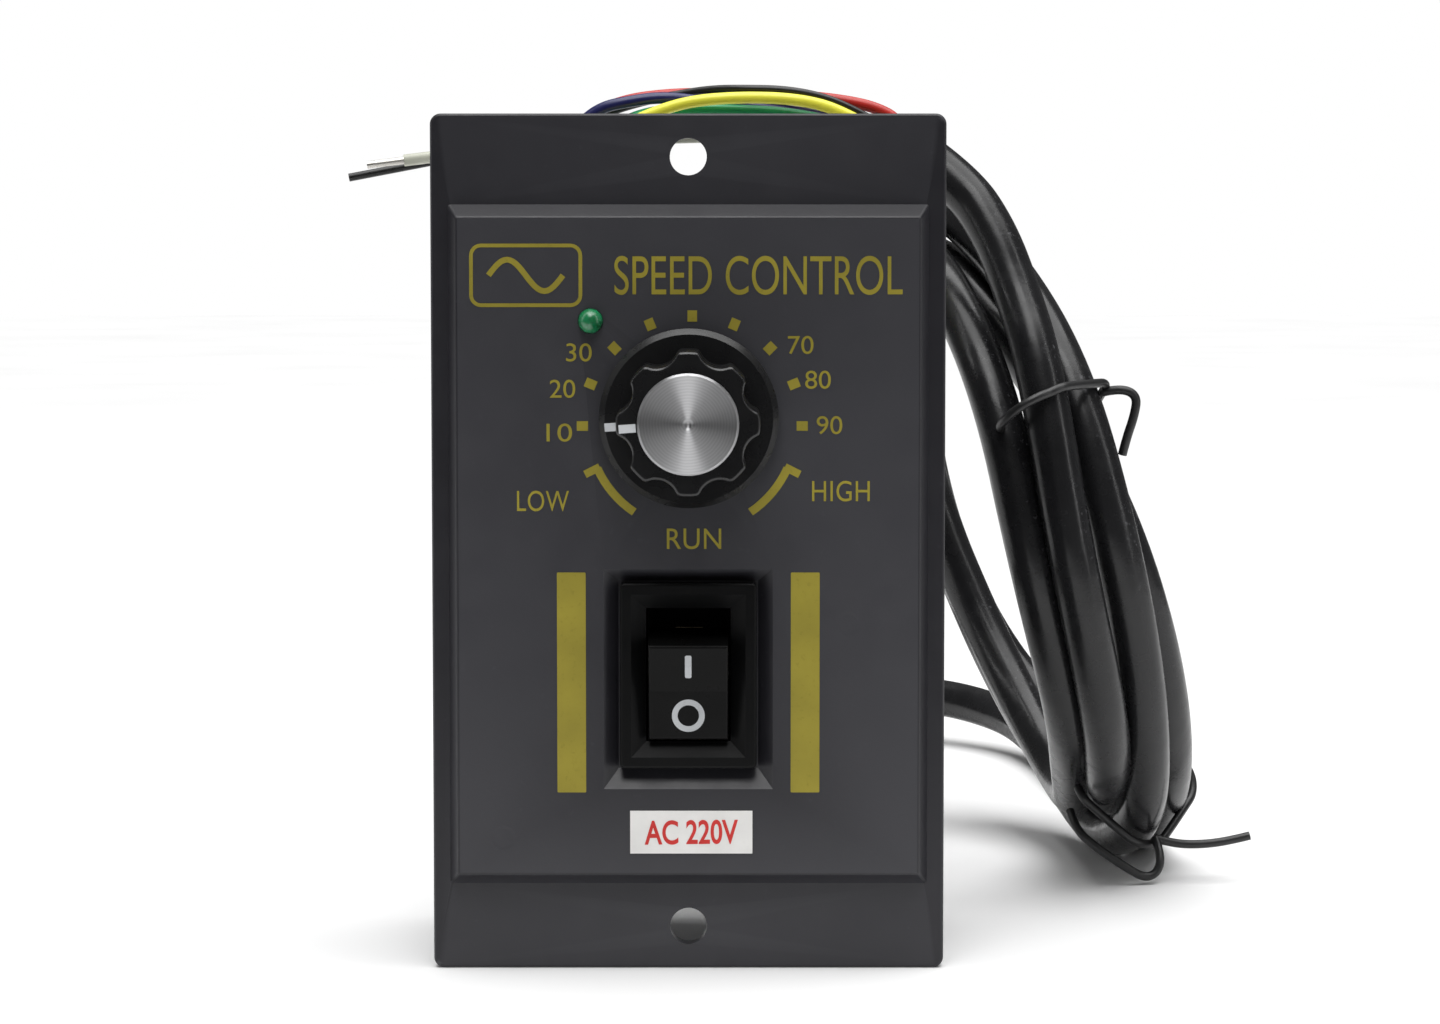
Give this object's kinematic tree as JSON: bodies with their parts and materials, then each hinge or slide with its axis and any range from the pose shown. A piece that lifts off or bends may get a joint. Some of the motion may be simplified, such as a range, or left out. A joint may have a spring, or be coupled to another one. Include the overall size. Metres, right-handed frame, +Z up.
{
  "type": "electronic speed controller",
  "caption": "Panel-mounted dial speed controller with a rocker switch and indicator, a boxed circuit behind, and a tied coil of multi-core lead with stripped ends.",
  "frame": {"origin": "on the floor below the middle of the box that holds the controller itself (knob front to cable boot), lead left out", "axes": "+X to the right seen from the front, +Y from the dial back through the housing, +Z up the panel"},
  "size_m": [0.1247, 0.2409, 0.1089],
  "materials": {
    "panel_plastic": "satin, fine-grained dark violet grey moulding",
    "housing_plastic": "satin black moulding",
    "boot_rubber": "matt black ribbed",
    "knob_plastic": "satin black",
    "spun_cap": "circular-spun",
    "turned_brass": "turned",
    "steel": "plated",
    "spring_steel": "drawn wire",
    "wiper_phenolic": "matt brown",
    "pot_can": "plated can",
    "contact_metal": "tin-plated contacts",
    "switch_plastic": "gloss black",
    "rocker_plastic": "satin black",
    "plunger_nylon": "natural white",
    "green_lens": "green diffused, unlit",
    "component_legs": "tinned",
    "board_laminate": "tan paper laminate",
    "sink_aluminium": "mill finish",
    "black_epoxy": "moulded",
    "film_case": "dipped",
    "can_sleeve": "sleeved can",
    "ferrite": "coated ring",
    "enamelled_copper": "enamelled wire",
    "fuse_glass": "clear",
    "resistor_coat": "lacquered",
    "sticker_paper": "coated paper, print on white",
    "cable_sheath": "satin black PVC",
    "twist_tie": "plastic-covered wire",
    "tinned_copper": "solder-dipped strands",
    "inner_cores": "six coloured PVC cores",
    "black_pvc": "PVC",
    "yellow_pvc": "PVC",
    "green_pvc": "PVC",
    "red_pvc": "PVC",
    "blue_pvc": "PVC",
    "white_pvc": "PVC"
  },
  "bodies": {
    "controller": {"front_panel": "panel_plastic", "rear_housing": "housing_plastic", "cable_gland": "boot_rubber", "cable_conductors": "inner_cores", "pot_bushing": "turned_brass", "pot_washer": "steel", "pot_nut": "steel", "pot_case": "pot_can", "pot_wafer": "wiper_phenolic", "pot_terminals": "contact_metal", "switch_frame": "switch_plastic", "switch_terminals": "contact_metal", "led_lens": "green_lens", "led_leads": "component_legs", "circuit_board": "board_laminate", "heat_sink": "sink_aluminium", "triac": "black_epoxy", "triac_screw": "steel", "film_capacitors": "film_case", "electrolytic_capacitor": "can_sleeve", "choke_core": "ferrite", "choke_winding": "enamelled_copper", "control_chip": "black_epoxy", "chip_pins": "component_legs", "fuse_tube": "fuse_glass", "fuse_clips": "contact_metal", "resistors": "resistor_coat", "sticker": "sticker_paper", "cable_coil": "cable_sheath", "upper_twist_tie": "twist_tie", "lower_twist_tie": "twist_tie", "tinned_ends": "tinned_copper", "housing_screws": "steel", "board_screws": "steel", "cable_lead": "cable_sheath", "cable_tail": "cable_sheath", "core_black": "black_pvc", "core_yellow": "yellow_pvc", "core_green": "green_pvc", "core_red": "red_pvc", "core_blue": "blue_pvc", "core_white": "white_pvc"},
    "dial": {"knob_body": "knob_plastic", "knob_cap": "spun_cap", "knob_insert": "turned_brass", "knob_set_screw": "steel", "pot_shaft": "steel", "pot_wiper": "wiper_phenolic"},
    "rocker": {"switch_rocker": "rocker_plastic", "switch_plunger": "plunger_nylon", "switch_spring": "spring_steel"},
    "contact": {"switch_lever": "contact_metal"}
  },
  "joints": [
    {"name": "dial_turn", "type": "hinge", "parent": "controller", "child": "dial", "pos_m": [0.0001, -0.03, 0.0677], "axis": [0, 1, 0], "range_deg": [-60, 240]},
    {"name": "rocker_tilt", "type": "hinge", "parent": "controller", "child": "rocker", "pos_m": [0, -0.0149, 0.0363], "axis": [-1, 0, 0], "range_deg": [0, 26]},
    {"name": "contact_tilt", "type": "hinge", "parent": "controller", "child": "contact", "pos_m": [0, -0.0086, 0.0363], "axis": [-1, 0, 0], "range_deg": [-16, 0]}
  ],
  "couplings": [
    {"joint": "contact_tilt", "follows": "rocker_tilt", "ratio": -0.6153}
  ]
}
